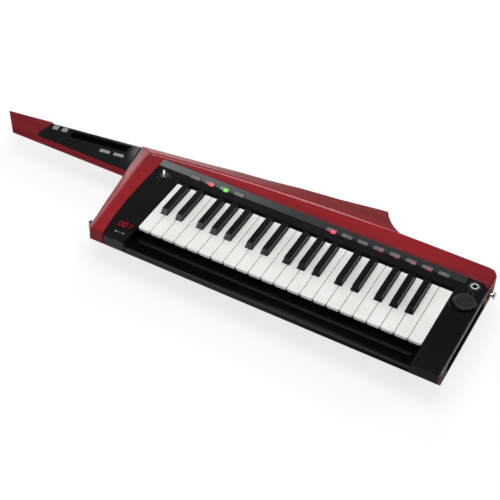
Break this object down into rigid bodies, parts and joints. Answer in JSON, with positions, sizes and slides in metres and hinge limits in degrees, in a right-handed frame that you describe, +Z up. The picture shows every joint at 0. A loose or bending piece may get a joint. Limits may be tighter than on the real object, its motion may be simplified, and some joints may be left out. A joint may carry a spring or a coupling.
{
  "type": "keytar",
  "caption": "Strap-on keyboard with slim keys, a red lacquered wooden body with a pointed horn, a touch-strip neck, a front ribbon controller, a small display, a volume knob and a value dial.",
  "frame": {"origin": "middle of the outer box in plan, at the level of the flat underside of the back cover, which the part lies on", "axes": "+X along the keyboard towards the high keys and away from the neck, +Y from the player's edge towards the back edge, +Z up, away from the back cover"},
  "size_m": [0.8394, 0.2672, 0.063],
  "materials": {
    "lacquer": "deep red see-through gloss lacquer over wood",
    "black_panel": "satin black moulding",
    "back_plastic": "fine-grained black moulding",
    "white_keys": "gloss white moulding",
    "black_keys": "gloss black moulding",
    "grey_caps": "satin see-through grey caps",
    "silver_caps": "satin silver paint on plastic",
    "knob_plastic": "gloss black skirt with an ivory pointer",
    "chrome": "bright chrome plate",
    "plated_steel": "zinc-plated sheet",
    "circuit_board": "green solder mask",
    "ribbon_strip": "smooth black touch film",
    "display_glass": "dark red see-through window"
  },
  "bodies": {
    "body": {"wood_body": "lacquer", "top_panel": "black_panel", "neck_panel": "black_panel", "back_cover": "back_plastic", "key_chassis": "plated_steel", "key_contact_board": "circuit_board", "main_board": "circuit_board", "front_ribbon": "ribbon_strip", "neck_ribbon": "ribbon_strip", "display_window": "display_glass", "phones_jack": "chrome", "connector_panel": "back_plastic", "strap_pin_left": "chrome", "strap_pin_right": "chrome"},
    "battery_door": {"battery_door": "back_plastic"},
    "key_01_c": {"key_01_c": "white_keys"},
    "key_02_c_sharp": {"key_02_c_sharp": "black_keys"},
    "key_03_d": {"key_03_d": "white_keys"},
    "key_04_d_sharp": {"key_04_d_sharp": "black_keys"},
    "key_05_e": {"key_05_e": "white_keys"},
    "key_06_f": {"key_06_f": "white_keys"},
    "key_07_f_sharp": {"key_07_f_sharp": "black_keys"},
    "key_08_g": {"key_08_g": "white_keys"},
    "key_09_g_sharp": {"key_09_g_sharp": "black_keys"},
    "key_10_a": {"key_10_a": "white_keys"},
    "key_11_a_sharp": {"key_11_a_sharp": "black_keys"},
    "key_12_b": {"key_12_b": "white_keys"},
    "key_13_c": {"key_13_c": "white_keys"},
    "key_14_c_sharp": {"key_14_c_sharp": "black_keys"},
    "key_15_d": {"key_15_d": "white_keys"},
    "key_16_d_sharp": {"key_16_d_sharp": "black_keys"},
    "key_17_e": {"key_17_e": "white_keys"},
    "key_18_f": {"key_18_f": "white_keys"},
    "key_19_f_sharp": {"key_19_f_sharp": "black_keys"},
    "key_20_g": {"key_20_g": "white_keys"},
    "key_21_g_sharp": {"key_21_g_sharp": "black_keys"},
    "key_22_a": {"key_22_a": "white_keys"},
    "key_23_a_sharp": {"key_23_a_sharp": "black_keys"},
    "key_24_b": {"key_24_b": "white_keys"},
    "key_25_c": {"key_25_c": "white_keys"},
    "key_26_c_sharp": {"key_26_c_sharp": "black_keys"},
    "key_27_d": {"key_27_d": "white_keys"},
    "key_28_d_sharp": {"key_28_d_sharp": "black_keys"},
    "key_29_e": {"key_29_e": "white_keys"},
    "key_30_f": {"key_30_f": "white_keys"},
    "key_31_f_sharp": {"key_31_f_sharp": "black_keys"},
    "key_32_g": {"key_32_g": "white_keys"},
    "key_33_g_sharp": {"key_33_g_sharp": "black_keys"},
    "key_34_a": {"key_34_a": "white_keys"},
    "key_35_a_sharp": {"key_35_a_sharp": "black_keys"},
    "key_36_b": {"key_36_b": "white_keys"},
    "key_37_c": {"key_37_c": "white_keys"},
    "program_buttons": {"program_buttons": "grey_caps"},
    "function_buttons": {"function_buttons": "grey_caps"},
    "neck_button_a": {"neck_button_a": "silver_caps"},
    "neck_button_b": {"neck_button_b": "silver_caps"},
    "neck_switch_a": {"neck_switch_a": "silver_caps"},
    "neck_switch_b": {"neck_switch_b": "silver_caps"},
    "volume_knob": {"volume_knob": "knob_plastic"},
    "value_dial": {"value_dial": "black_panel"}
  },
  "joints": [
    {"name": "battery_door_hinge", "type": "hinge", "parent": "body", "child": "battery_door", "pos_m": [0.1499, -0.0138, 0], "axis": [0, 1, 0], "range_deg": [0, 100]},
    {"name": "key_01_c_press", "type": "hinge", "parent": "body", "child": "key_01_c", "pos_m": [-0.0821, 0.0292, 0.042], "axis": [1, 0, 0], "range_deg": [0, 3.9], "stiffness_Nm_per_rad": 0.4, "springref_deg": -5.73},
    {"name": "key_02_c_sharp_press", "type": "hinge", "parent": "body", "child": "key_02_c_sharp", "pos_m": [-0.0821, 0.0292, 0.042], "axis": [1, 0, 0], "range_deg": [0, 3.6], "stiffness_Nm_per_rad": 0.4, "springref_deg": -5.73},
    {"name": "key_03_d_press", "type": "hinge", "parent": "body", "child": "key_03_d", "pos_m": [-0.0821, 0.0292, 0.042], "axis": [1, 0, 0], "range_deg": [0, 3.9], "stiffness_Nm_per_rad": 0.4, "springref_deg": -5.73},
    {"name": "key_04_d_sharp_press", "type": "hinge", "parent": "body", "child": "key_04_d_sharp", "pos_m": [-0.0821, 0.0292, 0.042], "axis": [1, 0, 0], "range_deg": [0, 3.6], "stiffness_Nm_per_rad": 0.4, "springref_deg": -5.73},
    {"name": "key_05_e_press", "type": "hinge", "parent": "body", "child": "key_05_e", "pos_m": [-0.0821, 0.0292, 0.042], "axis": [1, 0, 0], "range_deg": [0, 3.9], "stiffness_Nm_per_rad": 0.4, "springref_deg": -5.73},
    {"name": "key_06_f_press", "type": "hinge", "parent": "body", "child": "key_06_f", "pos_m": [-0.0821, 0.0292, 0.042], "axis": [1, 0, 0], "range_deg": [0, 3.9], "stiffness_Nm_per_rad": 0.4, "springref_deg": -5.73},
    {"name": "key_07_f_sharp_press", "type": "hinge", "parent": "body", "child": "key_07_f_sharp", "pos_m": [-0.0821, 0.0292, 0.042], "axis": [1, 0, 0], "range_deg": [0, 3.6], "stiffness_Nm_per_rad": 0.4, "springref_deg": -5.73},
    {"name": "key_08_g_press", "type": "hinge", "parent": "body", "child": "key_08_g", "pos_m": [-0.0821, 0.0292, 0.042], "axis": [1, 0, 0], "range_deg": [0, 3.9], "stiffness_Nm_per_rad": 0.4, "springref_deg": -5.73},
    {"name": "key_09_g_sharp_press", "type": "hinge", "parent": "body", "child": "key_09_g_sharp", "pos_m": [-0.0821, 0.0292, 0.042], "axis": [1, 0, 0], "range_deg": [0, 3.6], "stiffness_Nm_per_rad": 0.4, "springref_deg": -5.73},
    {"name": "key_10_a_press", "type": "hinge", "parent": "body", "child": "key_10_a", "pos_m": [-0.0821, 0.0292, 0.042], "axis": [1, 0, 0], "range_deg": [0, 3.9], "stiffness_Nm_per_rad": 0.4, "springref_deg": -5.73},
    {"name": "key_11_a_sharp_press", "type": "hinge", "parent": "body", "child": "key_11_a_sharp", "pos_m": [-0.0821, 0.0292, 0.042], "axis": [1, 0, 0], "range_deg": [0, 3.6], "stiffness_Nm_per_rad": 0.4, "springref_deg": -5.73},
    {"name": "key_12_b_press", "type": "hinge", "parent": "body", "child": "key_12_b", "pos_m": [-0.0821, 0.0292, 0.042], "axis": [1, 0, 0], "range_deg": [0, 3.9], "stiffness_Nm_per_rad": 0.4, "springref_deg": -5.73},
    {"name": "key_13_c_press", "type": "hinge", "parent": "body", "child": "key_13_c", "pos_m": [-0.0821, 0.0292, 0.042], "axis": [1, 0, 0], "range_deg": [0, 3.9], "stiffness_Nm_per_rad": 0.4, "springref_deg": -5.73},
    {"name": "key_14_c_sharp_press", "type": "hinge", "parent": "body", "child": "key_14_c_sharp", "pos_m": [-0.0821, 0.0292, 0.042], "axis": [1, 0, 0], "range_deg": [0, 3.6], "stiffness_Nm_per_rad": 0.4, "springref_deg": -5.73},
    {"name": "key_15_d_press", "type": "hinge", "parent": "body", "child": "key_15_d", "pos_m": [-0.0821, 0.0292, 0.042], "axis": [1, 0, 0], "range_deg": [0, 3.9], "stiffness_Nm_per_rad": 0.4, "springref_deg": -5.73},
    {"name": "key_16_d_sharp_press", "type": "hinge", "parent": "body", "child": "key_16_d_sharp", "pos_m": [-0.0821, 0.0292, 0.042], "axis": [1, 0, 0], "range_deg": [0, 3.6], "stiffness_Nm_per_rad": 0.4, "springref_deg": -5.73},
    {"name": "key_17_e_press", "type": "hinge", "parent": "body", "child": "key_17_e", "pos_m": [-0.0821, 0.0292, 0.042], "axis": [1, 0, 0], "range_deg": [0, 3.9], "stiffness_Nm_per_rad": 0.4, "springref_deg": -5.73},
    {"name": "key_18_f_press", "type": "hinge", "parent": "body", "child": "key_18_f", "pos_m": [-0.0821, 0.0292, 0.042], "axis": [1, 0, 0], "range_deg": [0, 3.9], "stiffness_Nm_per_rad": 0.4, "springref_deg": -5.73},
    {"name": "key_19_f_sharp_press", "type": "hinge", "parent": "body", "child": "key_19_f_sharp", "pos_m": [-0.0821, 0.0292, 0.042], "axis": [1, 0, 0], "range_deg": [0, 3.6], "stiffness_Nm_per_rad": 0.4, "springref_deg": -5.73},
    {"name": "key_20_g_press", "type": "hinge", "parent": "body", "child": "key_20_g", "pos_m": [-0.0821, 0.0292, 0.042], "axis": [1, 0, 0], "range_deg": [0, 3.9], "stiffness_Nm_per_rad": 0.4, "springref_deg": -5.73},
    {"name": "key_21_g_sharp_press", "type": "hinge", "parent": "body", "child": "key_21_g_sharp", "pos_m": [-0.0821, 0.0292, 0.042], "axis": [1, 0, 0], "range_deg": [0, 3.6], "stiffness_Nm_per_rad": 0.4, "springref_deg": -5.73},
    {"name": "key_22_a_press", "type": "hinge", "parent": "body", "child": "key_22_a", "pos_m": [-0.0821, 0.0292, 0.042], "axis": [1, 0, 0], "range_deg": [0, 3.9], "stiffness_Nm_per_rad": 0.4, "springref_deg": -5.73},
    {"name": "key_23_a_sharp_press", "type": "hinge", "parent": "body", "child": "key_23_a_sharp", "pos_m": [-0.0821, 0.0292, 0.042], "axis": [1, 0, 0], "range_deg": [0, 3.6], "stiffness_Nm_per_rad": 0.4, "springref_deg": -5.73},
    {"name": "key_24_b_press", "type": "hinge", "parent": "body", "child": "key_24_b", "pos_m": [-0.0821, 0.0292, 0.042], "axis": [1, 0, 0], "range_deg": [0, 3.9], "stiffness_Nm_per_rad": 0.4, "springref_deg": -5.73},
    {"name": "key_25_c_press", "type": "hinge", "parent": "body", "child": "key_25_c", "pos_m": [-0.0821, 0.0292, 0.042], "axis": [1, 0, 0], "range_deg": [0, 3.9], "stiffness_Nm_per_rad": 0.4, "springref_deg": -5.73},
    {"name": "key_26_c_sharp_press", "type": "hinge", "parent": "body", "child": "key_26_c_sharp", "pos_m": [-0.0821, 0.0292, 0.042], "axis": [1, 0, 0], "range_deg": [0, 3.6], "stiffness_Nm_per_rad": 0.4, "springref_deg": -5.73},
    {"name": "key_27_d_press", "type": "hinge", "parent": "body", "child": "key_27_d", "pos_m": [-0.0821, 0.0292, 0.042], "axis": [1, 0, 0], "range_deg": [0, 3.9], "stiffness_Nm_per_rad": 0.4, "springref_deg": -5.73},
    {"name": "key_28_d_sharp_press", "type": "hinge", "parent": "body", "child": "key_28_d_sharp", "pos_m": [-0.0821, 0.0292, 0.042], "axis": [1, 0, 0], "range_deg": [0, 3.6], "stiffness_Nm_per_rad": 0.4, "springref_deg": -5.73},
    {"name": "key_29_e_press", "type": "hinge", "parent": "body", "child": "key_29_e", "pos_m": [-0.0821, 0.0292, 0.042], "axis": [1, 0, 0], "range_deg": [0, 3.9], "stiffness_Nm_per_rad": 0.4, "springref_deg": -5.73},
    {"name": "key_30_f_press", "type": "hinge", "parent": "body", "child": "key_30_f", "pos_m": [-0.0821, 0.0292, 0.042], "axis": [1, 0, 0], "range_deg": [0, 3.9], "stiffness_Nm_per_rad": 0.4, "springref_deg": -5.73},
    {"name": "key_31_f_sharp_press", "type": "hinge", "parent": "body", "child": "key_31_f_sharp", "pos_m": [-0.0821, 0.0292, 0.042], "axis": [1, 0, 0], "range_deg": [0, 3.6], "stiffness_Nm_per_rad": 0.4, "springref_deg": -5.73},
    {"name": "key_32_g_press", "type": "hinge", "parent": "body", "child": "key_32_g", "pos_m": [-0.0821, 0.0292, 0.042], "axis": [1, 0, 0], "range_deg": [0, 3.9], "stiffness_Nm_per_rad": 0.4, "springref_deg": -5.73},
    {"name": "key_33_g_sharp_press", "type": "hinge", "parent": "body", "child": "key_33_g_sharp", "pos_m": [-0.0821, 0.0292, 0.042], "axis": [1, 0, 0], "range_deg": [0, 3.6], "stiffness_Nm_per_rad": 0.4, "springref_deg": -5.73},
    {"name": "key_34_a_press", "type": "hinge", "parent": "body", "child": "key_34_a", "pos_m": [-0.0821, 0.0292, 0.042], "axis": [1, 0, 0], "range_deg": [0, 3.9], "stiffness_Nm_per_rad": 0.4, "springref_deg": -5.73},
    {"name": "key_35_a_sharp_press", "type": "hinge", "parent": "body", "child": "key_35_a_sharp", "pos_m": [-0.0821, 0.0292, 0.042], "axis": [1, 0, 0], "range_deg": [0, 3.6], "stiffness_Nm_per_rad": 0.4, "springref_deg": -5.73},
    {"name": "key_36_b_press", "type": "hinge", "parent": "body", "child": "key_36_b", "pos_m": [-0.0821, 0.0292, 0.042], "axis": [1, 0, 0], "range_deg": [0, 3.9], "stiffness_Nm_per_rad": 0.4, "springref_deg": -5.73},
    {"name": "key_37_c_press", "type": "hinge", "parent": "body", "child": "key_37_c", "pos_m": [-0.0821, 0.0292, 0.042], "axis": [1, 0, 0], "range_deg": [0, 3.9], "stiffness_Nm_per_rad": 0.4, "springref_deg": -5.73},
    {"name": "program_buttons_press", "type": "slide", "parent": "body", "child": "program_buttons", "axis": [0, 0, -1], "range_m": [0, 0.0008], "stiffness_N_per_m": 400, "springref_m": -0.002},
    {"name": "function_buttons_press", "type": "slide", "parent": "body", "child": "function_buttons", "axis": [0, 0, -1], "range_m": [0, 0.0008], "stiffness_N_per_m": 400, "springref_m": -0.002},
    {"name": "neck_button_a_press", "type": "slide", "parent": "body", "child": "neck_button_a", "axis": [0, 0, -1], "range_m": [0, 0.001], "stiffness_N_per_m": 400, "springref_m": -0.002},
    {"name": "neck_button_b_press", "type": "slide", "parent": "body", "child": "neck_button_b", "axis": [0, 0, -1], "range_m": [0, 0.001], "stiffness_N_per_m": 400, "springref_m": -0.002},
    {"name": "neck_switch_a_press", "type": "slide", "parent": "body", "child": "neck_switch_a", "axis": [0, 0, -1], "range_m": [0, 0.001], "stiffness_N_per_m": 400, "springref_m": -0.002},
    {"name": "neck_switch_b_press", "type": "slide", "parent": "body", "child": "neck_switch_b", "axis": [0, 0, -1], "range_m": [0, 0.001], "stiffness_N_per_m": 400, "springref_m": -0.002},
    {"name": "volume_turn", "type": "hinge", "parent": "body", "child": "volume_knob", "pos_m": [-0.1083, 0.0234, 0.054], "axis": [0, 0, 1], "range_deg": [-170, 110]},
    {"name": "value_turn", "type": "hinge", "parent": "body", "child": "value_dial", "pos_m": [0.3879, 0.0086, 0.054], "axis": [0, 0, 1], "continuous": true}
  ]
}
